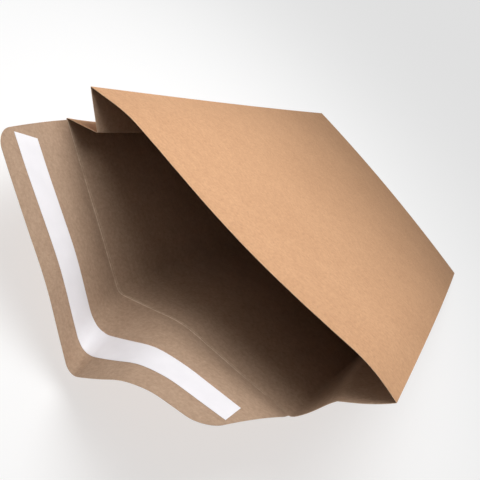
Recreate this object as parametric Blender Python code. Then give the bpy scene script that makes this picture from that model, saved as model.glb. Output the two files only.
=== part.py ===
"""Gusseted kraft paper mailer with an open mouth and a peel-and-seal flap. Metres, +Z up.

The mailer lies on its back panel. Its mouth opens towards -Y and its closed bottom is at +Y.
The body is one folded sheet. Each of its panels is a ruled surface: a straight ruling joins every
place on the flat bottom to the same place on the bent mouth, so the paper bends but hardly stretches.
"""
import math

import bmesh
import bpy
from mathutils import Matrix, Vector

MM = 0.001

# Folded sheet
WIDTH = 250 * MM
LENGTH = 415 * MM  # from the bottom fold to the mouth
GUSSET_HALF = 30 * MM  # each side gusset has two halves
FLAP_LENGTH = 68 * MM
FLAP_TAPER = 12 * MM  # how far each side of the flap runs in
FLAP_CORNER_RADIUS = 13 * MM
PAPER = 0.2 * MM
LAYER_AIR = 0.2 * MM  # between layers that are folded flat on each other

# Glued seams on the outside of the back panel
SEAM_TAB = 15 * MM
BOTTOM_TAB = 25 * MM
BOTTOM_TAB_TAPER = 4 * MM
TAB_CLEARANCE = 2 * MM  # the seam tab stops this far short of the bottom tab
EDGE_SETBACK = 1 * MM  # cut edges end this far inside the fold that wraps them
GLUE = 0.2 * MM
GLUE_AIR = 0.1 * MM
GLUE_MARGIN = 4 * MM

# Peel-and-seal strip on the inside of the flap
LINER_WIDTH = 18 * MM
LINER_FROM_FOLD = 35 * MM
LINER_FROM_SIDE = 13.5 * MM
LINER_SKEW = 5 * MM  # its right end is cut askew: how much further out the outer corner is
LINER = 0.1 * MM
ADHESIVE = 0.1 * MM
ADHESIVE_MARGIN = 1.5 * MM  # bare edge of the liner, to peel it by
STRIP_AIR = 0.12 * MM

# Bends across the sheet: share of the width, slope after it in degrees, share that the turn takes
FOLD_VALLEY = 0.46
FLAP_VALLEY = 0.586
FOLD_TURN = 0.04
FLAP_TURN = 0.056
FOLD_BENDS = ((0.0, -24.6, 0.0), (0.30, -27.5, 0.12), (FOLD_VALLEY, 36.8, FOLD_TURN), (0.677, 17.8, 0.12))
FRONT_BENDS = ((0.0, 9.3, 0.0), (0.127, -3.1, 0.14), (0.58, 3.5, 0.5), (0.918, -12.2, 0.14))
FLAP_BENDS = ((0.0, -23.0, 0.0), (0.384, -30.1, 0.16), (FLAP_VALLEY, 62.0, FLAP_TURN), (0.762, 41.5, 0.08),
              (0.827, 24.9, 0.08))

# How the mailer lies open
BOTTOM_ARCH = 3.9 * MM
MOUTH_OFFSET = 1.8 * MM
LEFT_SPREAD = 0.473  # share of the gusset's width that stands open at the mouth
RIGHT_SPREAD = 0.986
LEFT_LEAN = 87.4  # degrees from level, from the back left corner up to the front one
FLAP_CREASE_HEADING = 28.5  # degrees to the right of straight out
FLAP_CREASE_CLIMB = 8.5
VALLEY_ROUNDING = 13 * MM  # half width of the round valley in the middle of the flap
VALLEY_SLOPE = 0.68  # slope of the sides that it rounds
FLAP_CROWN_LEFT = 1.0 * MM
FLAP_CROWN_RIGHT = 3.0 * MM
CROWN_SPREAD = 50 * MM
LEFT_PINCH = 0.917  # share of a gusset half that reaches from the mouth's left corners to the crease
BACK_BULGE = ((0.54, 2), (1.0, 10))  # right gusset's back half at the mouth: slopes, and how fast they fade
FRONT_BULGE = ((0.14, 1),)
CORNER_TURN = 15  # degrees that the back turns on at its right corner before the gusset starts
SAG_DOWN = 3.4 * MM  # of the back's left edge, near the mouth
SAG_INWARD = 2.5 * MM
SAG_LENGTH = 180 * MM  # how far the sag reaches from the mouth
SAG_WIDTH = 60 * MM

# Fineness of the mesh
LINE_STEPS = 500
LEFT_COLUMNS = 13
RIGHT_COLUMNS = 18
LEFT_CROWDING = 1.5  # columns crowd towards the valley
RIGHT_CROWDING = 1.35
HALF_COLUMNS = 6
HALF_CROWDING = 1.8  # columns crowd towards the gusset's outer folds
TAB_COLUMNS = 3
LENGTH_ROWS = 12
LENGTH_CROWDING = 0.7  # rows crowd towards the mouth
FOLD_ROWS = 4
FLAP_ROWS = 4
CORNER_ROWS = 5
STRIP_ROWS = 2
STRIP_END_STEP = 2 * MM  # least way from a strip's end to its next column
SHARP_ANGLE = 25  # degrees between faces, above which their edge is drawn sharp

LAYER_PITCH = PAPER + LAYER_AIR
TAB_DROP = PAPER + GLUE + 2 * GLUE_AIR
FRONT_LEVEL = 3 * LAYER_PITCH
GLUE_LEVEL = -TAB_DROP / 2
ADHESIVE_LEVEL = PAPER / 2 + STRIP_AIR + ADHESIVE / 2
LINER_LEVEL = ADHESIVE_LEVEL + ADHESIVE / 2 + STRIP_AIR + LINER / 2

# Name, colour and roughness of each material
KRAFT_LOOK = ("kraft_paper", (0.56, 0.36, 0.22, 1.0), 0.85)
LINER_LOOK = ("release_paper", (0.88, 0.86, 0.90, 1.0), 0.45)
ADHESIVE_LOOK = ("adhesive", (0.80, 0.76, 0.62, 1.0), 0.35)
GLUE_LOOK = ("hot_melt_glue", (0.78, 0.70, 0.52, 1.0), 0.4)


def smooth(share):
    """Eases from 0 to 1."""
    share = min(max(share, 0.0), 1.0)
    return share * share * (3 - 2 * share)


def slope_at(share, bends):
    """Slope in radians at a share of the width."""
    slope = math.radians(bends[0][1])
    for (_, before, _), (place, after, spread) in zip(bends, bends[1:]):
        slope += math.radians(after - before) * smooth((share - place) / spread + 0.5)
    return slope


def bent_line(bends, turn=0.0):
    """Line as long as the sheet is wide, as places (sideways, up) in equal steps."""
    step = WIDTH / LINE_STEPS
    places = [Vector((0.0, 0.0))]
    for i in range(LINE_STEPS):
        slope = slope_at((i + 0.5) / LINE_STEPS, bends) + turn
        places.append(places[-1] + step * Vector((math.cos(slope), math.sin(slope))))
    return places


def along(line, share):
    """Place at a share of a line, and the line's direction there."""
    step = min(max(share, 0.0), 1.0) * LINE_STEPS
    i = min(int(step), LINE_STEPS - 1)
    run = line[i + 1] - line[i]
    return line[i] + run * (step - i), run.normalized()


def moved(line, share, target):
    """The line, moved so that its place at the share is the target."""
    shift = target - along(line, share)[0]
    return [place + shift for place in line]


def meet(a, from_a, b, from_b):
    """The place at these distances from a and b, to the left of the way from a to b."""
    way = b - a
    forward = (way.length_squared + from_a**2 - from_b**2) / (2 * way.length)
    aside = math.sqrt(max(from_a**2 - forward**2, 0.0))
    ahead = way.normalized()
    return a + ahead * forward + Vector((-ahead.y, ahead.x)) * aside


def sheet_lines():
    """The bent lines: the mouth's back edge, where the flap folds, its front edge, and the flap's edge."""
    valley = Vector((MOUTH_OFFSET + (FOLD_VALLEY - 0.5) * WIDTH, 0.0))
    fold = moved(bent_line(FOLD_BENDS), FOLD_VALLEY, valley)

    lean = math.radians(LEFT_LEAN)
    gusset = 2 * GUSSET_HALF
    front_left = fold[0] + gusset * LEFT_SPREAD * Vector((math.cos(lean), math.sin(lean)))
    level_front = bent_line(FRONT_BENDS)
    chord = level_front[-1] - level_front[0]
    front_right = meet(front_left, chord.length, fold[-1], gusset * RIGHT_SPREAD)
    way = front_right - front_left
    turn = math.atan2(way.y, way.x) - math.atan2(chord.y, chord.x)
    front = moved(bent_line(FRONT_BENDS, turn), 0.0, front_left)

    heading = math.radians(FLAP_CREASE_HEADING)
    climb = math.radians(FLAP_CREASE_CLIMB)
    crease = math.hypot(FLAP_LENGTH, (FLAP_VALLEY - FOLD_VALLEY) * WIDTH)
    reach = crease * Vector((math.cos(climb) * math.sin(heading), math.sin(climb)))
    flap_edge = moved(bent_line(FLAP_BENDS), FLAP_VALLEY, valley + reach)
    return fold, front, flap_edge


FOLD, FRONT, FLAP_EDGE = sheet_lines()
LEFT_CREASE = meet(FRONT[0], GUSSET_HALF * LEFT_PINCH, FOLD[0], GUSSET_HALF * LEFT_PINCH)
RIGHT_CREASE = meet(FOLD[-1], GUSSET_HALF, FRONT[-1], GUSSET_HALF)


def flat_place(across, level):
    """Place (sideways, up) in the flat bottom: across from the left side, level above the back panel."""
    share = across / WIDTH
    arch = BOTTOM_ARCH * (1 - (2 * share - 1) ** 2)
    return Vector((across - WIDTH / 2, arch + level))


def bent_place(line, across, level):
    """Place (sideways, up) at the mouth, moved by level along the line's upward normal."""
    place, run = along(line, across / WIDTH)
    return place + level * Vector((-run.y, run.x))


def back_ruling(across, level=0.0):
    """Bottom and mouth ends of a ruling of the back panel or of a layer on it."""
    return flat_place(across, level), bent_place(FOLD, across, level)


def front_ruling(across, level=0.0):
    """Bottom and mouth ends of a ruling of the front panel or of a layer on it."""
    return flat_place(across, FRONT_LEVEL + level), bent_place(FRONT, across, level)


def crease_rulings(across, crease, back_corner, front_corner):
    """The two rulings beside a gusset's crease, one on its back half and one on its front half."""
    half_pitch = (front_corner - back_corner).normalized() * (LAYER_PITCH / 2)
    back = flat_place(across, LAYER_PITCH), crease - half_pitch
    front = flat_place(across, 2 * LAYER_PITCH), crease + half_pitch
    return back, front


def right_corner_ruling():
    """Where the right gusset starts at the back. At the mouth the sheet turns smoothly into it."""
    corner, run = along(FOLD, 1.0)
    turn = Matrix.Rotation(math.radians(CORNER_TURN), 2)
    return flat_place(WIDTH, LAYER_PITCH), corner + LAYER_PITCH * (turn @ run)


def gusset_half(fold, crease, bulge=()):
    """(ruling, share of the way) of a gusset half, from its outer fold to its crease.

    It is flat at the bottom and bulges to the right at the mouth.
    """
    found = []
    for i in range(HALF_COLUMNS + 1):
        share = (i / HALF_COLUMNS) ** HALF_CROWDING
        out = sum(slope * share * (1 - share) ** fading for slope, fading in bulge)
        mouth = fold[1].lerp(crease[1], share) + Vector((GUSSET_HALF * out, 0.0))
        found.append(((fold[0].lerp(crease[0], share), mouth), share))
    return found


def on_ruling(ruling, distance):
    """Point on a ruling at a distance from the bottom fold."""
    bottom, mouth = ruling
    side = mouth - bottom
    reach = math.sqrt(LENGTH**2 - side.length_squared)
    share = distance / LENGTH
    return Vector((bottom.x + side.x * share, -reach * share, bottom.y + side.y * share))


def sagged(ruling, distance, across):
    """Point on a ruling with the sag of the back's left edge, which fades across the sheet."""
    inward = min((LENGTH - distance) / SAG_LENGTH, 1.0)
    aside = max(1 - across / SAG_WIDTH, 0.0)
    hump = 27 / 4 * inward * (1 - inward) ** 2
    return on_ruling(ruling, distance) + Vector((SAG_INWARD, 0.0, -SAG_DOWN)) * hump * aside**2


def column_places():
    """Distances of the sheet's columns from its left side, crowded towards the valley."""
    valley = FOLD_VALLEY * WIDTH
    left = [valley * (1 - (1 - i / LEFT_COLUMNS) ** LEFT_CROWDING) for i in range(LEFT_COLUMNS)]
    shares = [(i / RIGHT_COLUMNS) ** RIGHT_CROWDING for i in range(RIGHT_COLUMNS + 1)]
    return left + [valley + (WIDTH - valley) * share for share in shares]


COLUMNS = column_places()


def flap_columns(out):
    """Where the sheet's columns cross the flap at a distance out from the fold."""
    into_corner = max(out - (FLAP_LENGTH - FLAP_CORNER_RADIUS), 0.0)
    corner = FLAP_CORNER_RADIUS - math.sqrt(max(FLAP_CORNER_RADIUS**2 - into_corner**2, 0.0))
    inset = FLAP_TAPER * out / FLAP_LENGTH + corner
    start = EDGE_SETBACK + inset
    end = WIDTH - inset
    valley = (FOLD_VALLEY + (FLAP_VALLEY - FOLD_VALLEY) * out / FLAP_LENGTH) * WIDTH
    fold_valley = FOLD_VALLEY * WIDTH
    places = []
    for column in COLUMNS:
        if column < fold_valley:
            places.append(start + (valley - start) * column / fold_valley)
        else:
            places.append(end - (end - valley) * (WIDTH - column) / (WIDTH - fold_valley))
    return places


def flap_ruling(share):
    """Ends of the flap's ruling at a share of its outer edge: the valley's ends share one ruling."""
    if share < FLAP_VALLEY:
        fold_share = share * FOLD_VALLEY / FLAP_VALLEY
    else:
        fold_share = 1 - (1 - share) * (1 - FOLD_VALLEY) / (1 - FLAP_VALLEY)
    inner = on_ruling(back_ruling(fold_share * WIDTH), LENGTH)
    place = along(FLAP_EDGE, share)[0]
    slant = (share - fold_share) * WIDTH
    aside = Vector((place.x - inner.x, place.y - inner.z))
    reach = math.sqrt(FLAP_LENGTH**2 + slant**2 - aside.length_squared)
    return inner, Vector((place.x, inner.y - reach, place.y))


def round_valley(away, half_width):
    """Height of a valley with sides of slope 1 and a round bottom, away from its middle."""
    if away < half_width:
        return (away**2 / half_width + half_width) / 2
    return away


def flap_point(across, out):
    """Point of the flap at a place of the flat sheet: across from its left side, out from the fold."""
    share = across / WIDTH
    outward = out / FLAP_LENGTH
    valley = FOLD_VALLEY + (FLAP_VALLEY - FOLD_VALLEY) * outward
    if share < valley:
        narrowing = FOLD_VALLEY / FLAP_VALLEY
        edge_share = share / (narrowing + (1 - narrowing) * outward)
    else:
        widening = (1 - FOLD_VALLEY) / (1 - FLAP_VALLEY)
        edge_share = 1 - (1 - share) / (widening + (1 - widening) * outward)
    inner, outer = flap_ruling(edge_share)
    point = inner.lerp(outer, outward)

    bow = 4 * outward * (1 - outward)
    away = abs(share - valley) * WIDTH
    narrow = WIDTH / 2 * (FOLD_TURN + (FLAP_TURN - FOLD_TURN) * outward)
    wide = narrow + (VALLEY_ROUNDING - narrow) * bow
    point.z += VALLEY_SLOPE * (round_valley(away, wide) - round_valley(away, narrow))
    crown = FLAP_CROWN_LEFT if share < valley else FLAP_CROWN_RIGHT
    point.z += crown * bow * smooth(away / CROWN_SPREAD)
    return point


def above_flap(across, out, level):
    """Point at a level above the flap's middle plane."""
    nudge = PAPER
    sideways = flap_point(across + nudge, out) - flap_point(across - nudge, out)
    outwards = flap_point(across, out + nudge) - flap_point(across, out - nudge)
    return flap_point(across, out) + level * outwards.cross(sideways).normalized()


def strip_rows(start, end):
    """Distances out from the fold of the rows of a strip on the flap."""
    return [start + (end - start) * i / STRIP_ROWS for i in range(STRIP_ROWS + 1)]


def liner_rows():
    """The liner's rows: its edges and those of the adhesive under it."""
    inner = LINER_FROM_FOLD
    outer = LINER_FROM_FOLD + LINER_WIDTH
    return [inner, *strip_rows(inner + ADHESIVE_MARGIN, outer - ADHESIVE_MARGIN), outer]


def flap_rows():
    """Distances out from the fold of the flap's rows, which include the liner's."""
    plain = [LINER_FROM_FOLD * i / FLAP_ROWS for i in range(1, FLAP_ROWS)]
    corner_start = FLAP_LENGTH - FLAP_CORNER_RADIUS
    angles = [math.pi / 2 * i / CORNER_ROWS for i in range(CORNER_ROWS + 1)]
    corner = [corner_start + FLAP_CORNER_RADIUS * math.sin(angle) for angle in angles]
    return sorted(plain + liner_rows() + corner)


def length_rows():
    """Distances from the bottom fold of the rows that all panels share."""
    tab_start = BOTTOM_TAB + TAB_CLEARANCE
    low = [EDGE_SETBACK, BOTTOM_TAB / 2, tab_start]
    shares = [(i / LENGTH_ROWS) ** LENGTH_CROWDING for i in range(1, LENGTH_ROWS + 1)]
    return low + [tab_start + (LENGTH - tab_start) * share for share in shares]


def add_strip(mesh, lower, upper):
    """Joins two rows of vertices, with every square cut along the same diagonal."""
    for a, b, c, d in zip(lower, lower[1:], upper[1:], upper):
        mesh.faces.new((a, b, c))
        mesh.faces.new((a, c, d))


def add_rows(mesh, rows):
    """Grid of faces through rows of points, from the first to the last."""
    rows = [[mesh.verts.new(point) for point in row] for row in rows]
    for lower, upper in zip(rows, rows[1:]):
        add_strip(mesh, lower, upper)
    return rows


def sheet_rulings():
    """(ruling, how far across its sag is taken) in order round the mailer, starting with the seam tab.

    After the tab come the left gusset, the front panel, the right gusset and the back panel.
    """
    tab = []
    for i in range(TAB_COLUMNS + 1):
        across = SEAM_TAB * (1 - i / TAB_COLUMNS)
        tab.append((back_ruling(across, -TAB_DROP), across))
    left_back, left_front = crease_rulings(GUSSET_HALF, LEFT_CREASE, FOLD[0], FRONT[0])
    right_back, right_front = crease_rulings(WIDTH - GUSSET_HALF, RIGHT_CREASE, FOLD[-1], FRONT[-1])
    left_fold = back_ruling(0.0, LAYER_PITCH)
    left = [(ruling, SAG_WIDTH * share) for ruling, share in gusset_half(left_fold, left_back)]
    still = gusset_half(front_ruling(0.0, -LAYER_PITCH), left_front)[::-1]
    front_start = len(left + still)
    still += [(front_ruling(column), column) for column in COLUMNS]
    still += gusset_half(front_ruling(WIDTH, -LAYER_PITCH), right_front, FRONT_BULGE)
    still += gusset_half(right_corner_ruling(), right_back, BACK_BULGE)[::-1]
    back_places = [max(column, EDGE_SETBACK) for column in reversed(COLUMNS)]
    back = [(back_ruling(across), across) for across in back_places]
    return tab, left + [(ruling, SAG_WIDTH) for ruling, _ in still] + back, front_start


def bottom_fold_rows():
    """The front panel's end: round the bottom fold, then as a tab along the outside of the back panel."""
    radius = (FRONT_LEVEL + TAB_DROP) / 2
    middle = FRONT_LEVEL - radius
    rows = []
    for i in range(FOLD_ROWS + 1):
        angle = math.pi * (0.5 - i / FOLD_ROWS)
        places = [flat_place(column, middle + radius * math.sin(angle)) for column in COLUMNS]
        rows.append([Vector((place.x, radius * math.cos(angle), place.y)) for place in places])
    for distance in (EDGE_SETBACK, BOTTOM_TAB / 2, BOTTOM_TAB):
        inset = BOTTOM_TAB_TAPER * distance / BOTTOM_TAB
        places = [min(max(column, inset), WIDTH - inset) for column in COLUMNS]
        rows.append([on_ruling(back_ruling(place, -TAB_DROP), distance) for place in places])
    return rows


def mailer_sheet(mesh):
    """The whole folded sheet, as a surface through the middle of the paper."""
    tab, rulings, front_start = sheet_rulings()
    tab_start = BOTTOM_TAB + TAB_CLEARANCE
    rows = []
    for distance in length_rows():
        row = tab + rulings if distance >= tab_start else rulings
        rows.append([mesh.verts.new(sagged(ruling, distance, across)) for ruling, across in row])
    for lower, upper in zip(rows, rows[1:]):
        shared = min(len(lower), len(upper))
        add_strip(mesh, lower[-shared:], upper[-shared:])

    fold_rows = add_rows(mesh, list(reversed(bottom_fold_rows())))
    front_end = rows[0][front_start:front_start + len(COLUMNS)]
    add_strip(mesh, fold_rows[-1], front_end)

    back_end = rows[-1][-len(COLUMNS):]
    flap = [[flap_point(across, out) for across in reversed(flap_columns(out))] for out in flap_rows()]
    flap_start = add_rows(mesh, flap)[0]
    add_strip(mesh, back_end, flap_start)


def flap_strip(mesh, rows, margin, level):
    """Strip along the flap's inside whose columns follow the sheet's. Its right end is askew."""
    middle = LINER_FROM_FOLD + LINER_WIDTH / 2
    start = margin + STRIP_END_STEP
    end = WIDTH - margin - LINER_SKEW / 2 - STRIP_END_STEP
    inner = [i for i, across in enumerate(flap_columns(middle)) if start < across < end]
    grid = []
    for out in rows:
        columns = flap_columns(out)
        right_end = WIDTH - margin + LINER_SKEW * (out - middle) / LINER_WIDTH
        places = [margin, *(columns[i] for i in inner), right_end]
        grid.append([above_flap(across, out, level) for across in reversed(places)])
    add_rows(mesh, grid)


def release_liner(mesh):
    flap_strip(mesh, liner_rows(), LINER_FROM_SIDE, LINER_LEVEL)


def flap_adhesive(mesh):
    rows = liner_rows()[1:-1]
    flap_strip(mesh, rows, LINER_FROM_SIDE + ADHESIVE_MARGIN, ADHESIVE_LEVEL)


def seam_glue(mesh):
    """Line of glue between the back panel and the seam tab."""
    start = BOTTOM_TAB + TAB_CLEARANCE
    rows = [start + GLUE_MARGIN, *(row for row in length_rows() if row > start)]
    rows[-1] = LENGTH - GLUE_MARGIN
    rulings = [(back_ruling(across, GLUE_LEVEL), across) for across in (SEAM_TAB - GLUE_MARGIN, GLUE_MARGIN)]
    add_rows(mesh, [[sagged(ruling, row, across) for ruling, across in rulings] for row in rows])


def bottom_glue(mesh):
    """Line of glue between the back panel and the bottom tab."""
    margin = BOTTOM_TAB_TAPER + GLUE_MARGIN
    inner = [column for column in COLUMNS if margin < column < WIDTH - margin]
    rulings = [back_ruling(across, GLUE_LEVEL) for across in [margin, *inner, WIDTH - margin]]
    rows = (GLUE_MARGIN, BOTTOM_TAB / 2, BOTTOM_TAB - GLUE_MARGIN)
    add_rows(mesh, [[on_ruling(ruling, row) for ruling in reversed(rulings)] for row in rows])


def material(name, colour, roughness):
    """Plain matte material."""
    made = bpy.data.materials.new(name)
    made.use_nodes = True
    shader = made.node_tree.nodes["Principled BSDF"]
    shader.inputs["Base Color"].default_value = colour
    shader.inputs["Roughness"].default_value = roughness
    shader.inputs["Metallic"].default_value = 0.0
    return made


def sheet_object(name, draw, thickness, look, parent):
    """Object made from a drawn surface, given its thickness by a Solidify modifier."""
    mesh = bmesh.new()
    draw(mesh)
    data = bpy.data.meshes.new(name)
    mesh.to_mesh(data)
    mesh.free()
    data.shade_smooth()
    data.set_sharp_from_angle(angle=math.radians(SHARP_ANGLE))
    data.materials.append(look)
    made = bpy.data.objects.new(name, data)
    solidify = made.modifiers.new("thickness", "SOLIDIFY")
    solidify.thickness = thickness
    solidify.offset = 0.0
    solidify.use_even_offset = True
    made.parent = parent
    bpy.context.collection.objects.link(made)
    return made


def stand_on_origin(parent, objects):
    """Moves the parent so that the bottom centre of the whole mailer's box is at the origin."""
    graph = bpy.context.evaluated_depsgraph_get()
    points = [vertex.co for made in objects for vertex in made.evaluated_get(graph).data.vertices]
    low = [min(point[k] for point in points) for k in range(3)]
    high = [max(point[k] for point in points) for k in range(3)]
    parent.location = (-(low[0] + high[0]) / 2, -(low[1] + high[1]) / 2, -low[2])


def main():
    for old in list(bpy.data.objects):
        bpy.data.objects.remove(old)
    parent = bpy.data.objects.new("mailer", None)
    bpy.context.collection.objects.link(parent)
    hot_melt = material(*GLUE_LOOK)
    pieces = (
        ("mailer_body", mailer_sheet, PAPER, material(*KRAFT_LOOK)),
        ("release_liner", release_liner, LINER, material(*LINER_LOOK)),
        ("flap_adhesive", flap_adhesive, ADHESIVE, material(*ADHESIVE_LOOK)),
        ("side_seam_glue", seam_glue, GLUE, hot_melt),
        ("bottom_seam_glue", bottom_glue, GLUE, hot_melt),
    )
    stand_on_origin(parent, [sheet_object(*piece, parent) for piece in pieces])


main()
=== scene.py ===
"""Looks of the gusseted kraft mailer: a finer folded sheet, its release strip, materials, light and camera.

Every size is in metres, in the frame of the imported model. A place on the sheet is given flat: across from
its left side, and along from the bottom fold, with the flap beyond the mouth.
"""
import math
from collections import Counter

import bpy
from mathutils import Matrix, Vector, noise


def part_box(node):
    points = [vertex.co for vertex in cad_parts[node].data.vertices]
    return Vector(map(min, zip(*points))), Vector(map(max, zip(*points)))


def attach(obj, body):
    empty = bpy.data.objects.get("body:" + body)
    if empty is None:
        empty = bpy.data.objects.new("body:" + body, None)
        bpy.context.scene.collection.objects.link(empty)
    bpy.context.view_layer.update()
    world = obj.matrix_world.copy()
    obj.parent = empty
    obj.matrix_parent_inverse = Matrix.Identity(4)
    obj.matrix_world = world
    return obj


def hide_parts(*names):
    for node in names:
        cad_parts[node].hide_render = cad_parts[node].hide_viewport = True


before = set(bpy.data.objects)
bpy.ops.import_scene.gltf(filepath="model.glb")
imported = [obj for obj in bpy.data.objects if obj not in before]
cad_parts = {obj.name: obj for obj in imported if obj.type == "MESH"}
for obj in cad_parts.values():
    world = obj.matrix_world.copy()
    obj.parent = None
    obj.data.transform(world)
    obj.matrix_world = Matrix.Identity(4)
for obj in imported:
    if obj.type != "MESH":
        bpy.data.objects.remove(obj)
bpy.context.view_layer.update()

MM = 0.001

# Folded sheet
WIDTH = 250 * MM
LENGTH = 415 * MM
GUSSET_HALF = 30 * MM
FLAP_LENGTH = 68 * MM
FLAP_TAPER = 12 * MM  # how much each of its sides is drawn in at its end
FLAP_CORNER_RADIUS = 10.5 * MM
FLAP_FLARE = 0.9 * MM  # how much less its right side is drawn in, from a little way off the fold
FLARE_REACH = 8 * MM
PAPER = 0.2 * MM
LAYER_PITCH = 0.4 * MM  # between the middles of layers that lie flat on each other
SEAM_TAB = 15 * MM
BOTTOM_TAB = 25 * MM
BOTTOM_TAB_TAPER = 4 * MM
TAB_CLEARANCE = 2 * MM  # between the bottom tab's end and the seam tab's
EDGE_SETBACK = 1 * MM  # of the back's cut edges from the folds that they lie against
TAB_DROP = 0.6 * MM  # how far the tabs lie under the back panel
FRONT_LEVEL = 3 * LAYER_PITCH

# Where each panel starts on the unfolded blank, going round from the seam
FRONT_START = 2 * GUSSET_HALF
RIGHT_START = FRONT_START + WIDTH
BACK_START = RIGHT_START + 2 * GUSSET_HALF
BLANK_END = BACK_START + WIDTH

# Peel-and-seal strip
LINER_WIDTH = 18 * MM
LINER_FROM_FOLD = 35 * MM
LINER_END = LINER_FROM_FOLD + LINER_WIDTH
LINER_MIDDLE = LINER_FROM_FOLD + LINER_WIDTH / 2
LINER_FROM_SIDE = 13.5 * MM
LINER_LEFT_SKEW = 3 * MM  # of its left end, whose outer corner reaches further
LINER_RIGHT_SKEW = 3 * MM  # of its right end, likewise
LINER_REACH = 1 * MM  # how much further its right end goes
LINER_SLANT = 2 * MM  # how much further out on the flap its left end lies
LINER_SLANT_REACH = 90 * MM  # distance from the sheet's left side over which that ends
LINER_THICKNESS = 0.08 * MM
ADHESIVE_THICKNESS = 0.05 * MM
ADHESIVE_MARGIN = 1.5 * MM
STRIP_AIR = 0.02 * MM
ADHESIVE_LEVEL = PAPER / 2 + STRIP_AIR + ADHESIVE_THICKNESS / 2
LINER_LEVEL = ADHESIVE_LEVEL + ADHESIVE_THICKNESS / 2 + STRIP_AIR + LINER_THICKNESS / 2

# Bends across the sheet: share of the width, slope after it in degrees, share that the turn takes
FOLD_VALLEY = 0.46
FLAP_VALLEY = 0.586
FOLD_TURN = 0.04
FLAP_TURN = 0.056
FOLD_BENDS = ((0.0, -24.6, 0.0), (0.30, -27.5, 0.12), (FOLD_VALLEY, 36.8, FOLD_TURN), (0.677, 17.8, 0.12))
FRONT_BENDS = ((0.0, 9.3, 0.0), (0.127, -3.1, 0.14), (0.58, 3.5, 0.5), (0.918, -12.2, 0.14))
FLAP_BENDS = ((0.0, -23.0, 0.0), (0.384, -30.1, 0.16), (FLAP_VALLEY, 62.0, FLAP_TURN), (0.762, 41.5, 0.08),
              (0.827, 24.9, 0.08))

# How the mailer lies open
BOTTOM_ARCH = 3.9 * MM  # how much higher the flat bottom's middle is than its ends
MOUTH_OFFSET = 1.8 * MM  # to the right, of the mouth's fold
LEFT_SPREAD = 0.473  # how far the mouth's left side stands open, as a share of the gusset
RIGHT_SPREAD = 0.986
LEFT_LEAN = 87.4  # slope in degrees of the way across the mouth's left side
FLAP_CREASE_HEADING = 28.5  # degrees that the flap's valley turns to the right
FLAP_CREASE_CLIMB = 8.5  # degrees that it climbs
VALLEY_ROUNDING = 13 * MM  # half width of the round valley in the middle of the flap
VALLEY_SLOPE = 0.68  # slope of the sides that it rounds
FLAP_CROWN_LEFT = 1.0 * MM
FLAP_CROWN_RIGHT = 3.0 * MM
CROWN_SPREAD = 50 * MM
LEFT_PINCH = 0.917  # share of a gusset half that reaches from the mouth's left corners to the crease
BACK_BULGE = ((0.30, 2), (0.5, 14))  # right gusset's back half at the mouth: slopes, and how fast they fade
FRONT_BULGE = ((0.14, 1),)
CREASE_ROUNDING = 7 * MM  # how far from the right crease the paper is rounded at the mouth
CREASE_EASE = 0.3 * MM  # how far the rounding moves the crease outwards
CORNER_TURN = 15  # degrees that the back turns on at its right corner before the gusset starts
SAG_DOWN = 3.4 * MM  # of the back's left edge, near the mouth
SAG_INWARD = 2.5 * MM
SAG_LENGTH = 180 * MM  # how far the sag reaches from the mouth
SAG_WIDTH = 60 * MM
SAG_SCALE = 27 / 4  # makes the sag's hump 1 high
FRONT_DRIFT = 1.4 * MM  # to the right, of the front panel half way along it

# Soft unevenness of the paper: height and wavelength of each size of wave
WAVES = ((0.55 * MM, 95 * MM), (0.22 * MM, 34 * MM), (0.07 * MM, 12 * MM))
WAVE_SIDE_STILL = 16 * MM  # over the seam tab
WAVE_SIDE_FADE = 24 * MM
WAVE_END_FADE = 90 * MM
FRONT_SEED = 3.7  # where in the noise the front's waves lie
BACK_SEED = 8.2
SCORE_HEIGHT = 0.28 * MM  # bead that the scored fold leaves inside
SCORE_REACH = 1.1 * MM
SCORE_FADE = 70 * MM  # over which it fades towards the right side

# Fineness of the mesh
LINE_STEPS = 3000
LEFT_COLUMNS = 62
RIGHT_COLUMNS = 74
LEFT_CROWDING = 1.3
RIGHT_CROWDING = 1.25
HALF_COLUMNS = 18
HALF_CROWDING = 1.8
TAB_COLUMNS = 6
LENGTH_ROWS = 84
LENGTH_CROWDING = 0.8
FOLD_ROWS = 6
TAB_ROWS = 4
SCORE_ROWS = 4
FLAP_ROWS = 16
CORNER_ROWS = 12
STRIP_ROWS = 8
STRIP_END_STEP = 1 * MM
SHARP_ANGLE = 25  # degrees between faces, above which their edge is sharp


def smooth(share):
    """Eases from 0 to 1."""
    share = min(max(share, 0.0), 1.0)
    return share * share * (3 - 2 * share)


def arch(share):
    """Rises from 0 to 1 half way, and falls back to 0."""
    return 4 * share * (1 - share)


def slope_at(share, bends):
    """Slope in radians at a share of the width."""
    slope = math.radians(bends[0][1])
    for (_, before, _), (place, after, spread) in zip(bends, bends[1:]):
        slope += math.radians(after - before) * smooth((share - place) / spread + 0.5)
    return slope


def bent_line(bends, turn=0.0):
    """Line as long as the sheet is wide, as places (sideways, up) in equal steps."""
    step = WIDTH / LINE_STEPS
    places = [Vector((0.0, 0.0))]
    for i in range(LINE_STEPS):
        slope = slope_at((i + 0.5) / LINE_STEPS, bends) + turn
        places.append(places[-1] + step * Vector((math.cos(slope), math.sin(slope))))
    return places


def along(line, share):
    """Place at a share of a line, and the line's direction there."""
    step = min(max(share, 0.0), 1.0) * LINE_STEPS
    i = min(int(step), LINE_STEPS - 1)
    run = line[i + 1] - line[i]
    return line[i] + run * (step - i), run.normalized()


def moved(line, share, target):
    """The line, moved so that its place at the share is the target."""
    shift = target - along(line, share)[0]
    return [place + shift for place in line]


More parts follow.
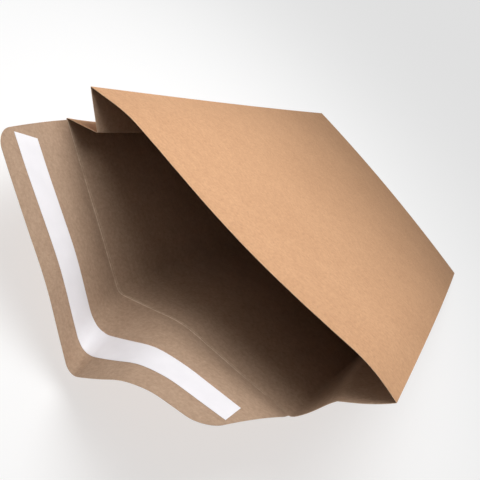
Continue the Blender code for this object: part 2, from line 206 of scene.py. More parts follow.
def meet(a, from_a, b, from_b):
    """The place at these distances from a and b, to the left of the way from a to b."""
    way = b - a
    forward = (way.length_squared + from_a**2 - from_b**2) / (2 * way.length)
    aside = math.sqrt(max(from_a**2 - forward**2, 0.0))
    ahead = way.normalized()
    return a + ahead * forward + Vector((-ahead.y, ahead.x)) * aside


def sheet_lines():
    """The bent lines: the mouth's back edge, where the flap folds, its front edge, and the flap's edge."""
    valley = Vector((MOUTH_OFFSET + (FOLD_VALLEY - 0.5) * WIDTH, 0.0))
    fold = moved(bent_line(FOLD_BENDS), FOLD_VALLEY, valley)

    lean = math.radians(LEFT_LEAN)
    gusset = 2 * GUSSET_HALF
    front_left = fold[0] + gusset * LEFT_SPREAD * Vector((math.cos(lean), math.sin(lean)))
    level_front = bent_line(FRONT_BENDS)
    chord = level_front[-1] - level_front[0]
    front_right = meet(front_left, chord.length, fold[-1], gusset * RIGHT_SPREAD)
    way = front_right - front_left
    turn = math.atan2(way.y, way.x) - math.atan2(chord.y, chord.x)
    front = moved(bent_line(FRONT_BENDS, turn), 0.0, front_left)

    heading = math.radians(FLAP_CREASE_HEADING)
    climb = math.radians(FLAP_CREASE_CLIMB)
    crease = math.hypot(FLAP_LENGTH, (FLAP_VALLEY - FOLD_VALLEY) * WIDTH)
    reach = crease * Vector((math.cos(climb) * math.sin(heading), math.sin(climb)))
    flap_edge = moved(bent_line(FLAP_BENDS), FLAP_VALLEY, valley + reach)
    return fold, front, flap_edge


FOLD, FRONT, FLAP_EDGE = sheet_lines()
LEFT_CREASE = meet(FRONT[0], GUSSET_HALF * LEFT_PINCH, FOLD[0], GUSSET_HALF * LEFT_PINCH)
RIGHT_CREASE = meet(FOLD[-1], GUSSET_HALF, FRONT[-1], GUSSET_HALF)


def flat_place(across, level):
    """Place (sideways, up) in the flat bottom: across from the left side, level above the back panel."""
    return Vector((across - WIDTH / 2, BOTTOM_ARCH * arch(across / WIDTH) + level))


def bent_place(line, across, level):
    """Place (sideways, up) at the mouth, moved by level along the line's upward normal."""
    place, run = along(line, across / WIDTH)
    return place + level * Vector((-run.y, run.x))


def back_ruling(across, level=0.0):
    """Bottom and mouth ends of a ruling of the back panel or of a layer on it."""
    return flat_place(across, level), bent_place(FOLD, across, level)


def front_ruling(across, level=0.0):
    """Bottom and mouth ends of a ruling of the front panel or of a layer on it."""
    return flat_place(across, FRONT_LEVEL + level), bent_place(FRONT, across, level)


def crease_rulings(across, crease, back_corner, front_corner):
    """The two rulings beside a gusset's crease, one on its back half and one on its front half."""
    half_pitch = (front_corner - back_corner).normalized() * (LAYER_PITCH / 2)
    back = flat_place(across, LAYER_PITCH), crease - half_pitch
    front = flat_place(across, 2 * LAYER_PITCH), crease + half_pitch
    return back, front


def right_corner_ruling():
    """Where the right gusset starts at the back. At the mouth the sheet turns smoothly into it."""
    corner, run = along(FOLD, 1.0)
    turned = Matrix.Rotation(math.radians(CORNER_TURN), 2) @ run
    return flat_place(WIDTH, LAYER_PITCH), corner + LAYER_PITCH * turned


def gusset_half(fold, crease, bulge=()):
    """(ruling, share of the way) of a gusset half, from its outer fold to its crease.

    It is flat at the bottom. A bulge, and the crease beside it, are rounded to the right at the mouth.
    """
    found = []
    for i in range(HALF_COLUMNS + 1):
        share = (i / HALF_COLUMNS) ** HALF_CROWDING
        out = sum(GUSSET_HALF * slope * share * (1 - share) ** fading for slope, fading in bulge)
        if bulge:
            near = max(1 - (1 - share) * GUSSET_HALF / CREASE_ROUNDING, 0.0)
            out += CREASE_EASE * near**2
        mouth = fold[1].lerp(crease[1], share) + Vector((out, 0.0))
        found.append(((fold[0].lerp(crease[0], share), mouth), share))
    return found


def on_ruling(ruling, distance):
    """Point on a ruling at a distance from the bottom fold."""
    bottom, mouth = ruling
    side = mouth - bottom
    reach = math.sqrt(LENGTH**2 - side.length_squared)
    share = distance / LENGTH
    return Vector((bottom.x + side.x * share, -reach * share, bottom.y + side.y * share))


def sagged(ruling, distance, across):
    """Point on a ruling with the sag of the back's left edge, which fades across the sheet."""
    inward = min((LENGTH - distance) / SAG_LENGTH, 1.0)
    aside = max(1 - across / SAG_WIDTH, 0.0)
    hump = SAG_SCALE * inward * (1 - inward) ** 2
    return on_ruling(ruling, distance) + Vector((SAG_INWARD, 0.0, -SAG_DOWN)) * hump * aside**2


def drifted(point, distance, share):
    """The point, moved by its share of the front panel's drift."""
    point.x += FRONT_DRIFT * share * arch(distance / LENGTH)
    return point


def waves(across, distance, seed):
    """Height of the paper's soft waves at a flat place."""
    side = smooth((min(across, WIDTH - across) - WAVE_SIDE_STILL) / WAVE_SIDE_FADE)
    end = smooth((distance - BOTTOM_TAB) / WAVE_END_FADE)
    height = 0.0
    for tall, length in WAVES:
        height += tall * noise.noise(Vector((across / length, distance / length, seed)))
    return height * side * end


def score_bead(across, distance):
    """Height of the bead along the scored fold."""
    near = max(1 - abs(distance - LENGTH) / SCORE_REACH, 0.0)
    return SCORE_HEIGHT * smooth(near) * smooth((WIDTH - across) / SCORE_FADE)


def raised(point, across, distance, seed):
    """The point with the paper's waves."""
    point.z += waves(across, distance, seed)
    return point


def crowded_columns():
    """Distances of the sheet's columns from its left side, crowded towards the valley."""
    valley = FOLD_VALLEY * WIDTH
    left = [valley * (1 - (1 - i / LEFT_COLUMNS) ** LEFT_CROWDING) for i in range(LEFT_COLUMNS)]
    shares = [(i / RIGHT_COLUMNS) ** RIGHT_CROWDING for i in range(RIGHT_COLUMNS + 1)]
    return left + [valley + (WIDTH - valley) * share for share in shares]


COLUMNS = crowded_columns()


def flap_columns(out):
    """Where the sheet's columns cross the flap at a distance out from the fold."""
    into_corner = max(out - (FLAP_LENGTH - FLAP_CORNER_RADIUS), 0.0)
    corner = FLAP_CORNER_RADIUS - math.sqrt(max(FLAP_CORNER_RADIUS**2 - into_corner**2, 0.0))
    inset = FLAP_TAPER * out / FLAP_LENGTH + corner
    start = EDGE_SETBACK + inset
    end = WIDTH - inset + FLAP_FLARE * smooth(out / FLARE_REACH)
    valley = (FOLD_VALLEY + (FLAP_VALLEY - FOLD_VALLEY) * out / FLAP_LENGTH) * WIDTH
    fold_valley = FOLD_VALLEY * WIDTH
    places = []
    for column in COLUMNS:
        if column < fold_valley:
            places.append(start + (valley - start) * column / fold_valley)
        else:
            places.append(end - (end - valley) * (WIDTH - column) / (WIDTH - fold_valley))
    return places


def flap_ruling(share):
    """Ends of the flap's ruling at a share of its outer edge: the valley's ends share one ruling."""
    if share < FLAP_VALLEY:
        fold_share = share * FOLD_VALLEY / FLAP_VALLEY
    else:
        fold_share = 1 - (1 - share) * (1 - FOLD_VALLEY) / (1 - FLAP_VALLEY)
    inner = on_ruling(back_ruling(fold_share * WIDTH), LENGTH)
    place = along(FLAP_EDGE, share)[0]
    slant = (share - fold_share) * WIDTH
    aside = Vector((place.x - inner.x, place.y - inner.z))
    reach = math.sqrt(FLAP_LENGTH**2 + slant**2 - aside.length_squared)
    return inner, Vector((place.x, inner.y - reach, place.y))


def round_valley(away, half_width):
    """Height of a valley with sides of slope 1 and a round bottom, away from its middle."""
    if away < half_width:
        return (away**2 / half_width + half_width) / 2
    return away


def flap_point(across, out):
    """Point of the flap at a place of the flat sheet: across from its left side, out from the fold."""
    share = across / WIDTH
    outward = out / FLAP_LENGTH
    valley = FOLD_VALLEY + (FLAP_VALLEY - FOLD_VALLEY) * outward
    if share < valley:
        narrowing = FOLD_VALLEY / FLAP_VALLEY
        edge_share = share / (narrowing + (1 - narrowing) * outward)
    else:
        widening = (1 - FOLD_VALLEY) / (1 - FLAP_VALLEY)
        edge_share = 1 - (1 - share) / (widening + (1 - widening) * outward)
    inner, outer = flap_ruling(edge_share)
    point = inner.lerp(outer, outward)

    away = abs(share - valley) * WIDTH
    narrow = WIDTH / 2 * (FOLD_TURN + (FLAP_TURN - FOLD_TURN) * outward)
    wide = narrow + (VALLEY_ROUNDING - narrow) * arch(outward)
    point.z += VALLEY_SLOPE * (round_valley(away, wide) - round_valley(away, narrow))
    crown = FLAP_CROWN_LEFT if share < valley else FLAP_CROWN_RIGHT
    point.z += crown * arch(outward) * smooth(away / CROWN_SPREAD)
    point.z += score_bead(across, LENGTH + out)
    return raised(point, across, LENGTH + out, BACK_SEED)


def above_flap(across, out, level):
    """Point at a level above the flap's middle plane."""
    nudge = PAPER
    sideways = flap_point(across + nudge, out) - flap_point(across - nudge, out)
    outwards = flap_point(across, out + nudge) - flap_point(across, out - nudge)
    return flap_point(across, out) + level * outwards.cross(sideways).normalized()


def even(start, end, count):
    """Equal steps from start to end."""
    return [start + (end - start) * i / count for i in range(count + 1)]


def tab_distances():
    """Distances from the bottom fold of the rows over its tab."""
    return [EDGE_SETBACK, *even(BOTTOM_TAB / TAB_ROWS, BOTTOM_TAB, TAB_ROWS - 1)]


def length_rows():
    """Distances from the bottom fold of the rows that all panels share, closer together near the mouth."""
    tab_start = BOTTOM_TAB + TAB_CLEARANCE
    reach = LENGTH - SCORE_REACH - tab_start
    rows = [tab_start + reach * (i / LENGTH_ROWS) ** LENGTH_CROWDING for i in range(LENGTH_ROWS + 1)]
    return tab_distances() + rows + even(LENGTH - SCORE_REACH, LENGTH, SCORE_ROWS)[1:]


def flap_rows():
    """Distances out from the fold of the flap's rows, as close under the strip as its own."""
    score = even(0.0, SCORE_REACH, SCORE_ROWS)[1:]
    plain = even(SCORE_REACH, LINER_FROM_FOLD, FLAP_ROWS)[1:]
    strip = even(LINER_FROM_FOLD, LINER_END, STRIP_ROWS)[1:]
    corner_start = FLAP_LENGTH - FLAP_CORNER_RADIUS
    angles = even(0.0, math.pi / 2, CORNER_ROWS)
    corner = [corner_start + FLAP_CORNER_RADIUS * math.sin(angle) for angle in angles]
    return sorted(score + plain + strip + corner)


class Surface:
    """Points with their flat places, and the faces between them."""

    def __init__(self):
        self.points = []
        self.flats = []
        self.faces = []

    def row(self, items):
        """Adds a row of (point, flat place) and returns its numbers."""
        start = len(self.points)
        self.points.extend(point for point, _ in items)
        self.flats.extend(flat for _, flat in items)
        return list(range(start, len(self.points)))

    def join(self, lower, upper):
        """Faces between two rows."""
        for a, b, c, d in zip(lower, lower[1:], upper[1:], upper):
            self.faces.append((a, b, c, d))

    def grid(self, rows):
        """Faces through rows of (point, flat place), whose numbers it returns."""
        numbers = [self.row(row) for row in rows]
        for lower, upper in zip(numbers, numbers[1:]):
            self.join(lower, upper)
        return numbers


def back_flat(across, distance):
    """Flat place of the back panel and the flap on the blank."""
    return BLANK_END - across, distance


def sheet_rulings():
    """(ruling, blank place, how far across its sag is taken, share of the drift, seed of its waves).

    In order round the mailer: the seam tab, the left gusset, the front panel, the right gusset and the back.
    """
    tab_places = even(SEAM_TAB, 0.0, TAB_COLUMNS)
    tab = [(back_ruling(place, -TAB_DROP), -place, place, 0.0, None) for place in tab_places]
    left_back, left_front = crease_rulings(GUSSET_HALF, LEFT_CREASE, FOLD[0], FRONT[0])
    right_back, right_front = crease_rulings(WIDTH - GUSSET_HALF, RIGHT_CREASE, FOLD[-1], FRONT[-1])
    left = []
    for ruling, share in gusset_half(back_ruling(0.0, LAYER_PITCH), left_back):
        left.append((ruling, GUSSET_HALF * share, SAG_WIDTH * share, 0.0, None))
    for ruling, share in gusset_half(front_ruling(0.0, -LAYER_PITCH), left_front)[::-1]:
        left.append((ruling, FRONT_START - GUSSET_HALF * share, SAG_WIDTH, 1 - share, None))
    front = [(front_ruling(column), FRONT_START + column, column, 1.0, FRONT_SEED) for column in COLUMNS]
    right = []
    for ruling, share in gusset_half(front_ruling(WIDTH, -LAYER_PITCH), right_front, FRONT_BULGE):
        right.append((ruling, RIGHT_START + GUSSET_HALF * share, SAG_WIDTH, 1 - share, None))
    for ruling, share in gusset_half(right_corner_ruling(), right_back, BACK_BULGE)[::-1]:
        right.append((ruling, BACK_START - GUSSET_HALF * share, SAG_WIDTH, 0.0, None))
    back = []
    for column in reversed(COLUMNS):
        place = max(column, EDGE_SETBACK)
        back.append((back_ruling(place), BLANK_END - place, place, 0.0, BACK_SEED))
    return tab, left + front + right + back, len(left)


def sheet_row(rulings, distance):
    """The sheet's row of (point, flat place) at a distance from the bottom fold."""
    row = []
    for ruling, blank, across, drift, seed in rulings:
        if seed == FRONT_SEED:
            point = raised(on_ruling(ruling, distance), across, distance, seed)
        else:
            point = sagged(ruling, distance, across)
        if seed == BACK_SEED:
            point = raised(point, across, distance, seed)
            point.z += score_bead(across, distance)
        row.append((drifted(point, distance, drift), (blank, distance)))
    return row


def bottom_fold_rows():
    """The front panel's end: round the bottom fold, then as a tab along the outside of the back panel."""
    radius = (FRONT_LEVEL + TAB_DROP) / 2
    middle = FRONT_LEVEL - radius
    rows = []
    for angle in even(math.pi / 2, -math.pi / 2, FOLD_ROWS):
        row = []
        for column in COLUMNS:
            place = flat_place(column, middle + radius * math.sin(angle))
            point = Vector((place.x, radius * math.cos(angle), place.y))
            row.append((point, (FRONT_START + column, radius * (angle - math.pi / 2))))
        rows.append(row)
    for distance in tab_distances():
        inset = BOTTOM_TAB_TAPER * distance / BOTTOM_TAB
        places = [min(max(column, inset), WIDTH - inset) for column in COLUMNS]
        row = []
        for place in places:
            point = on_ruling(back_ruling(place, -TAB_DROP), distance)
            row.append((point, (FRONT_START + place, -math.pi * radius - distance)))
        rows.append(row)
    return rows


def mailer_sheet():
    """The whole folded sheet, as a surface through the middle of the paper."""
    surface = Surface()
    tab, rulings, front_start = sheet_rulings()
    tab_start = BOTTOM_TAB + TAB_CLEARANCE
    rows = []
    for distance in length_rows():
        across = tab + rulings if distance >= tab_start else rulings
        rows.append(surface.row(sheet_row(across, distance)))
    for lower, upper in zip(rows, rows[1:]):
        shared = min(len(lower), len(upper))
        surface.join(lower[-shared:], upper[-shared:])

    fold_rows = surface.grid(list(reversed(bottom_fold_rows())))
    surface.join(fold_rows[-1], rows[0][front_start:front_start + len(COLUMNS)])

    flap = []
    for out in flap_rows():
        flap.append([(flap_point(across, out), back_flat(across, LENGTH + out))
                     for across in reversed(flap_columns(out))])
    surface.join(rows[-1][-len(COLUMNS):], surface.grid(flap)[0])
    return surface


def flap_strip(start_out, end_out, margin, level):
    """Strip along the flap's inside whose columns follow the sheet's.

    Its ends are askew, and towards its left end it lies further out.
    """
    surface = Surface()
    start = margin + LINER_LEFT_SKEW + STRIP_END_STEP
    end = WIDTH - margin + LINER_REACH - LINER_RIGHT_SKEW / 2 - STRIP_END_STEP
    inner = [i for i, across in enumerate(flap_columns(LINER_MIDDLE)) if start < across < end]
    rows = []
    for out in even(start_out, end_out, STRIP_ROWS):
        columns = flap_columns(out)
        outward = (out - LINER_MIDDLE) / LINER_WIDTH
        left_end = margin + LINER_LEFT_SKEW * (0.5 - outward)
        right_end = WIDTH - margin + LINER_REACH + LINER_RIGHT_SKEW * outward
        places = [left_end, *(columns[i] for i in inner), right_end]
        row = []
        for across in reversed(places):
            slanted = out + LINER_SLANT * (1 - smooth(across / LINER_SLANT_REACH))
            row.append((above_flap(across, slanted, level), back_flat(across, LENGTH + slanted)))
        rows.append(row)
    surface.grid(rows)
    return surface


def sheet_piece(name, surface, thickness, looks):
    """Object from a surface, with its flat places as UVs and looks for inside, outside and cut edge."""
    data = bpy.data.meshes.new(name)
    data.from_pydata(surface.points, [], surface.faces)
    flat = data.uv_layers.new(name="flat")
    for loop in data.loops:
        flat.data[loop.index].uv = surface.flats[loop.vertex_index]
    data.shade_smooth()
    data.set_sharp_from_angle(angle=math.radians(SHARP_ANGLE))
    uses = Counter(loop.edge_index for loop in data.loops)
    for edge in data.edges:
        if uses[edge.index] == 1:
            edge.use_edge_sharp = True
    for look in looks:
        data.materials.append(look)
    made = bpy.data.objects.new(name, data)
    bpy.context.collection.objects.link(made)
    solidify = made.modifiers.new("thickness", "SOLIDIFY")
    solidify.thickness = thickness
    solidify.offset = 0.0
    solidify.use_even_offset = True
    solidify.material_offset = min(1, len(looks) - 1)
    solidify.material_offset_rim = min(2, len(looks) - 1)
    return made


# Fold lines on the blank, mixed lighter, partly as wear and partly as a painted highlight: axis (0 across, 1
# along), place, and how much lighter
OUTER_WEAR_AND_HIGHLIGHT = 0.4
LENGTHWISE_FOLDS = (GUSSET_HALF, FRONT_START, RIGHT_START, RIGHT_START + GUSSET_HALF, BACK_START, BLANK_END)
CROSS_FOLDS = (0.0, LENGTH)
OUTER_FOLD_LINES = (*((0, place, OUTER_WEAR_AND_HIGHLIGHT) for place in LENGTHWISE_FOLDS),
                    *((1, place, OUTER_WEAR_AND_HIGHLIGHT) for place in CROSS_FOLDS))
SCORE_FLANK = 1.5 * MM  # from the scored fold to the fainter line beside it
INNER_FOLD_LINES = ((1, LENGTH, 0.85), (1, LENGTH - SCORE_FLANK, 0.3))
OUTER_WEAR_AND_HIGHLIGHT_REACH = 0.9  # in millimetres, to each side of a line
SCORE_WEAR_AND_HIGHLIGHT_REACH = 0.7
WEAR_AND_HIGHLIGHT_AT_RIGHT = (0.15, 1.0)  # share of it up to the back panel's right side, and a fade's length into it
WEAR_AND_HIGHLIGHT_AT_LEFT = (1.0, 0.6)  # from there to the back panel's left side

# Kraft paper's grain: scale in each millimetre, detail and roughness, and its stretch across and along
CLOUDS = (0.016, 3.0, 0.5)
MOTTLE = (0.11, 3.0, 0.8)
PULP = (0.45, 4.0, 0.7)
FIBRES = (1.3, 3.0, 0.6)
FIBRE_STRETCH = (1.0, 0.3)
CROSS_FIBRES = (1.2, 2.0, 0.6)
CROSS_FIBRE_STRETCH = (0.35, 0.9)
FLECKS = (0.5, 3.0, 0.75)
FLECK_STRETCH = (1.0, 0.6)
TONE_WEIGHTS = (0.8, 0.4, 0.2, 0.2, 0.15)  # of the pulp, mottle, clouds, fibres and cross fibres
TONE_RANGE = (0.70, 1.05)  # of their sum, from the dark colour to the light one
HEIGHT_WEIGHTS = (1.0, 0.4, 0.4)  # of the pulp, fibres and cross fibres
FLECK_RANGE = (0.60, 0.72)
FLECK_SHARE = 0.4
PATCHY_RANGE = (0.40, 0.56)
PATCHY_SHARES = (0.4, 1.0)
PATCHY_WEIGHTS = (0.6, 0.4)  # of the mottle and the pulp
MIDDLE_RANGE = (0.3, 0.7)  # most of a noise's values
KRAFT_ROUGHNESS = (0.78, 0.9)
FIBRE_BUMP = 0.03 * MM

# Grain of the coated papers and, in each metre, of the glue
COATED_CLOUDS = (0.09, 3.0, 0.5)
COATED_ROUGHNESS_SPREAD = 0.05
GLUE_ROUGHNESS_SPREAD = 0.08
LINER_BUMP = 0.02 * MM
ADHESIVE_BUMP = 0.03 * MM
GLUE_BLOBS = (160.0, 3.0, 0.5)
GLUE_BUMP = 0.05 * MM

# Colours: one, or a darker and a lighter one that a noise mixes
OUTSIDE = ((0.500, 0.276, 0.148, 1.0), (0.622, 0.361, 0.202, 1.0))
INSIDE = ((0.372, 0.247, 0.166, 1.0), (0.494, 0.342, 0.238, 1.0))
CUT_EDGE = ((0.60, 0.42, 0.28, 1.0), (0.74, 0.55, 0.38, 1.0))
FLECK = (0.30, 0.17, 0.09, 1.0)
# Lighter colour along the folds: partly wear, partly a painted highlight where light catches them
WORN_AND_HIGHLIT = (0.90, 0.72, 0.54, 1.0)
LINER_WHITE = ((0.89, 0.87, 0.90, 1.0), (0.93, 0.91, 0.94, 1.0))
ADHESIVE_TINT = ((0.74, 0.70, 0.56, 1.0), (0.80, 0.76, 0.62, 1.0))
GLUE_TINT = ((0.70, 0.62, 0.44, 1.0), (0.78, 0.70, 0.52, 1.0))
WHITE = (1.0, 1.0, 1.0, 1.0)

# Sockets of a Mix node that mixes colours
MIX_SHARE = 0
MIX_FIRST = 6
MIX_SECOND = 7
MIX_RESULT = 2


class Shader:
    """Adds nodes to a material and joins them."""

    def __init__(self, name):
        self.material = bpy.data.materials.new(name)
        self.material.use_nodes = True
        self.nodes = self.material.node_tree.nodes
        self.links = self.material.node_tree.links
        self.surface = self.nodes["Principled BSDF"]

    def feed(self, socket, value):
        """Gives an input a number, a colour, or another node's output."""
        if isinstance(value, bpy.types.NodeSocket):
            self.links.new(value, socket)
        else:
            socket.default_value = value

    def put(self, **values):
        """Sets the surface's inputs, named with _ for a space."""
        for name, value in values.items():
            self.feed(self.surface.inputs[name.replace("_", " ")], value)

    def sheet_place(self, across=1.0, lengthwise=1.0):
        """The flat place in millimetres, stretched by a scale each way."""
        flat = self.nodes.new("ShaderNodeUVMap")
        flat.uv_map = "flat"
        scale = self.nodes.new("ShaderNodeVectorMath")
        scale.operation = "MULTIPLY"
        scale.inputs[1].default_value = (across / MM, lengthwise / MM, 1.0)
        self.links.new(flat.outputs[0], scale.inputs[0])
        return scale.outputs[0]

    def grain(self, place, scale, detail, roughness):
        """Noise from 0 to 1."""
        node = self.nodes.new("ShaderNodeTexNoise")
        node.inputs["Scale"].default_value = scale
        node.inputs["Detail"].default_value = detail
        node.inputs["Roughness"].default_value = roughness
        self.links.new(place, node.inputs["Vector"])
        return node.outputs["Fac"]

    def number(self, operation, *values):
        """Result of a Math node."""
        node = self.nodes.new("ShaderNodeMath")
        node.operation = operation
        for socket, value in zip(node.inputs, values):
            self.feed(socket, value)
        return node.outputs[0]

    def weighted(self, *parts):
        """Sum of values, each with its weight."""
        total = None
        for value, weight in parts:
            share = self.number("MULTIPLY", value, weight)
            total = share if total is None else self.number("ADD", total, share)
        return total

    def spread(self, value, low, high, to_low=0.0, to_high=1.0):
        """The value, mapped from one range to another and held within it."""
        node = self.nodes.new("ShaderNodeMapRange")
        for socket, given in zip(node.inputs, (value, low, high, to_low, to_high)):
            self.feed(socket, given)
        return node.outputs[0]

    def mix(self, share, first, second):
        """Colour between two."""
        node = self.nodes.new("ShaderNodeMix")
        node.data_type = "RGBA"
        self.feed(node.inputs[MIX_SHARE], share)
        self.feed(node.inputs[MIX_FIRST], first)
        self.feed(node.inputs[MIX_SECOND], second)
        return node.outputs[MIX_RESULT]

    def bump(self, height, distance, strength):
        """Makes the surface uneven."""
        node = self.nodes.new("ShaderNodeBump")
        node.inputs["Distance"].default_value = distance
        node.inputs["Strength"].default_value = strength
        self.links.new(height, node.inputs["Height"])
        self.links.new(node.outputs[0], self.surface.inputs["Normal"])


def fold_nearness(shader, place, folds, reach):
    """Each fold line's share of the lighter fold colour, partly wear and partly a painted highlight, down to
    0 at a reach in millimetres. The largest counts.

    It is weak up to the back panel, full a little way into it, and less again at its left side.
    """
    split = shader.nodes.new("ShaderNodeSeparateXYZ")
    shader.links.new(place, split.inputs[0])
    nearest = None
    for axis, line, share in folds:
        away = shader.number("ABSOLUTE", shader.number("SUBTRACT", split.outputs[axis], line / MM))
        near = shader.spread(away, 0.0, reach, share, 0.0)
        nearest = near if nearest is None else shader.number("MAXIMUM", nearest, near)
    right, faded, left = BACK_START / MM, (BACK_START + SCORE_FADE) / MM, BLANK_END / MM
    to_right = shader.spread(split.outputs[0], right, faded, *WEAR_AND_HIGHLIGHT_AT_RIGHT)
    to_left = shader.spread(split.outputs[0], faded, left, *WEAR_AND_HIGHLIGHT_AT_LEFT)
    return shader.number("MULTIPLY", nearest, shader.number("MULTIPLY", to_right, to_left))


def kraft(name, dark, light, folds, fold_reach):
    """Kraft paper: cloudy pulp, fibres that run along the sheet, darker flecks, and folds lighter, partly
    worn and partly a painted highlight.
    """
    shader = Shader(name)
    place = shader.sheet_place()
    clouds = shader.grain(place, *CLOUDS)
    mottle = shader.grain(place, *MOTTLE)
    pulp = shader.grain(place, *PULP)
    fibres = shader.grain(shader.sheet_place(*FIBRE_STRETCH), *FIBRES)
    cross_fibres = shader.grain(shader.sheet_place(*CROSS_FIBRE_STRETCH), *CROSS_FIBRES)
    tone = shader.weighted(*zip((pulp, mottle, clouds, fibres, cross_fibres), TONE_WEIGHTS))
    colour = shader.mix(shader.spread(tone, *TONE_RANGE), dark, light)
    flecks = shader.spread(shader.grain(shader.sheet_place(*FLECK_STRETCH), *FLECKS), *FLECK_RANGE)
    colour = shader.mix(shader.number("MULTIPLY", flecks, FLECK_SHARE), colour, FLECK)
    if folds:
        near = fold_nearness(shader, place, folds, fold_reach)
        grain = shader.weighted(*zip((mottle, pulp), PATCHY_WEIGHTS))
        patchy = shader.spread(grain, *PATCHY_RANGE, *PATCHY_SHARES)
        # Painted highlight, partly also wear: near each fold line the colour is mixed lighter
        colour = shader.mix(shader.number("MULTIPLY", near, patchy), colour, WORN_AND_HIGHLIT)
    shader.put(Base_Color=colour, Roughness=shader.spread(fibres, *MIDDLE_RANGE, *KRAFT_ROUGHNESS))
    shader.put(Specular_IOR_Level=0.25)
    height = shader.weighted(*zip((pulp, fibres, cross_fibres), HEIGHT_WEIGHTS))
    shader.bump(height, FIBRE_BUMP, strength=0.5)
    return shader.material


def around(value, spread):
    """The value less and plus a spread."""
    return value - spread, value + spread


def plain_paper(name, low, high, roughness, bump):
    """Smooth coated paper with a faint cloudiness."""
    shader = Shader(name)
    place = shader.sheet_place()
    clouds = shader.grain(place, *COATED_CLOUDS)
    fibre = shader.grain(place, *FIBRES)
    shader.put(Base_Color=shader.mix(shader.spread(clouds, *MIDDLE_RANGE), low, high))
    shader.put(Roughness=shader.spread(fibre, *MIDDLE_RANGE, *around(roughness, COATED_ROUGHNESS_SPREAD)))
    shader.put(Specular_IOR_Level=0.4, Coat_Weight=0.12, Coat_Roughness=0.4)
    shader.bump(fibre, bump, strength=0.3)
    return shader.material


def glue_look(name, low, high, roughness):
    """Set glue, slightly uneven in colour and gloss."""
    shader = Shader(name)
    spot = shader.nodes.new("ShaderNodeTexCoord").outputs["Object"]
    blobs = shader.grain(spot, *GLUE_BLOBS)
    shader.put(Base_Color=shader.mix(shader.spread(blobs, *MIDDLE_RANGE), low, high))
    shader.put(Roughness=shader.spread(blobs, *MIDDLE_RANGE, *around(roughness, GLUE_ROUGHNESS_SPREAD)))
    shader.put(Specular_IOR_Level=0.5)
    shader.bump(blobs, GLUE_BUMP, strength=0.4)
    return shader.material


kraft_outside = kraft("kraft_outside", *OUTSIDE, OUTER_FOLD_LINES, OUTER_WEAR_AND_HIGHLIGHT_REACH)
kraft_inside = kraft("kraft_inside", *INSIDE, INNER_FOLD_LINES, SCORE_WEAR_AND_HIGHLIGHT_REACH)
kraft_cut = kraft("kraft_cut_edge", *CUT_EDGE, (), SCORE_WEAR_AND_HIGHLIGHT_REACH)
liner_look = plain_paper("release_liner", *LINER_WHITE, roughness=0.5, bump=LINER_BUMP)
adhesive_look = plain_paper("strip_adhesive", *ADHESIVE_TINT, roughness=0.35, bump=ADHESIVE_BUMP)
seam_glue_look = glue_look("seam_glue", *GLUE_TINT, roughness=0.4)

# The folded sheet and its strip
body = sheet_piece("kraft_sheet", mailer_sheet(), PAPER, (kraft_inside, kraft_outside, kraft_cut))
liner_strip = flap_strip(LINER_FROM_FOLD, LINER_END, LINER_FROM_SIDE, LINER_LEVEL)
liner = sheet_piece("peel_strip", liner_strip, LINER_THICKNESS, (liner_look,))
adhesive_strip = flap_strip(LINER_FROM_FOLD + ADHESIVE_MARGIN, LINER_END - ADHESIVE_MARGIN,
                            LINER_FROM_SIDE + ADHESIVE_MARGIN, ADHESIVE_LEVEL)
adhesive = sheet_piece("strip_adhesive", adhesive_strip, ADHESIVE_THICKNESS, (adhesive_look,))


def box_of(piece):
    """Lowest and highest corners of a piece as it is shown."""
    shown = piece.evaluated_get(bpy.context.evaluated_depsgraph_get())
    spots = [vertex.co for vertex in shown.data.vertices]
    low = Vector(min(spot[k] for spot in spots) for k in range(3))
    high = Vector(max(spot[k] for spot in spots) for k in range(3))
    return low, high


# The fine sheet lies where its solid lies
fine_low, fine_high = box_of(body)
solid_low, solid_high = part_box("mailer_body")
shift = (solid_low + solid_high - fine_low - fine_high) / 2
shift.z = solid_low.z - fine_low.z
for piece, node, slot in ((body, "mailer_body", "kraft_paper"), (liner, "release_liner", "release_paper"),
                          (adhesive, "flap_adhesive", "adhesive")):
    piece.data.transform(Matrix.Translation(shift))
    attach(piece, "root")
    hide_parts(node)
for node in ("side_seam_glue", "bottom_seam_glue"):
    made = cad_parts[node]
    made.data.materials.clear()
    made.data.materials.append(seam_glue_look)

# Floor
FLOOR_SIZE = 14.0
FLOOR_STEPS = 8
FLOOR_GREY = (0.38, 0.38, 0.38, 1.0)
FLOOR_GLOW = 0.62
bpy.ops.mesh.primitive_grid_add(x_subdivisions=FLOOR_STEPS, y_subdivisions=FLOOR_STEPS, size=FLOOR_SIZE)
floor = bpy.context.object
floor.name = "floor"
floor_shader = Shader("pale_floor")
floor_shader.put(Base_Color=FLOOR_GREY, Roughness=0.9, Specular_IOR_Level=0.1)
floor_shader.put(Emission_Color=WHITE, Emission_Strength=FLOOR_GLOW)
floor.data.materials.append(floor_shader.material)


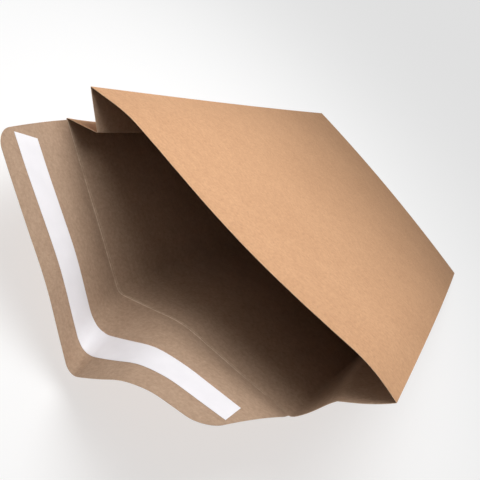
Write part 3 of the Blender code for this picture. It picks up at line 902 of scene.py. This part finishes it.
def lamp(name, kind, energy, place, aim, **settings):
    """Light at a place, aimed at another."""
    data = bpy.data.lights.new(name, kind)
    data.energy = energy
    for setting, value in settings.items():
        setattr(data, setting, value)
    made = bpy.data.objects.new(name, data)
    made.location = place
    made.rotation_euler = (Vector(aim) - Vector(place)).to_track_quat("-Z", "Y").to_euler()
    bpy.context.collection.objects.link(made)


# Light: a broad one close over the mouth, weaker ones from behind and beside it, and a weak sky
lamp("overhead", "AREA", energy=1.68, place=(-0.08, -0.075, 0.42), aim=(-0.05, -0.09, 0.0), size=0.36)
lamp("behind", "SUN", energy=0.47, place=(-0.25, 0.5, 1.0), aim=(0.0, 0.0, 0.0), angle=math.radians(50))
lamp("beside_mouth", "AREA", energy=0.10, place=(-0.38, -0.44, 0.42), aim=(0.03, -0.18, 0.05), size=0.22)
SKY_STRENGTH = 0.18
world = bpy.data.worlds.new("pale_room")
world.use_nodes = True
sky = world.node_tree.nodes["Background"]
sky.inputs["Color"].default_value = WHITE
sky.inputs["Strength"].default_value = SKY_STRENGTH
bpy.context.scene.world = world
bpy.context.scene.view_settings.view_transform = "Standard"

# Camera at the photograph's viewing angle: its right, down and forward directions and its place
CAMERA_PLACE = (0.0806, -0.3988, 0.2824)
CAMERA_RIGHT = (0.58305, 0.59467, 0.55355)
CAMERA_DOWN = (0.78543, -0.23836, -0.57122)
CAMERA_AHEAD = (-0.20775, 0.76782, -0.60605)
LENS_MM = 42.396
SENSOR_MM = 36.0
CLIP_START = 0.01
camera = bpy.data.objects.new("camera", bpy.data.cameras.new("camera"))
camera.data.lens = LENS_MM
camera.data.sensor_width = SENSOR_MM
camera.data.clip_start = CLIP_START
turn = Matrix((CAMERA_RIGHT, -Vector(CAMERA_DOWN), -Vector(CAMERA_AHEAD))).transposed()
camera.matrix_world = Matrix.Translation(CAMERA_PLACE) @ turn.to_4x4()
bpy.context.collection.objects.link(camera)
bpy.context.scene.camera = camera


def plain(box):
    """A box as lists of numbers."""
    return [list(corner) for corner in box]
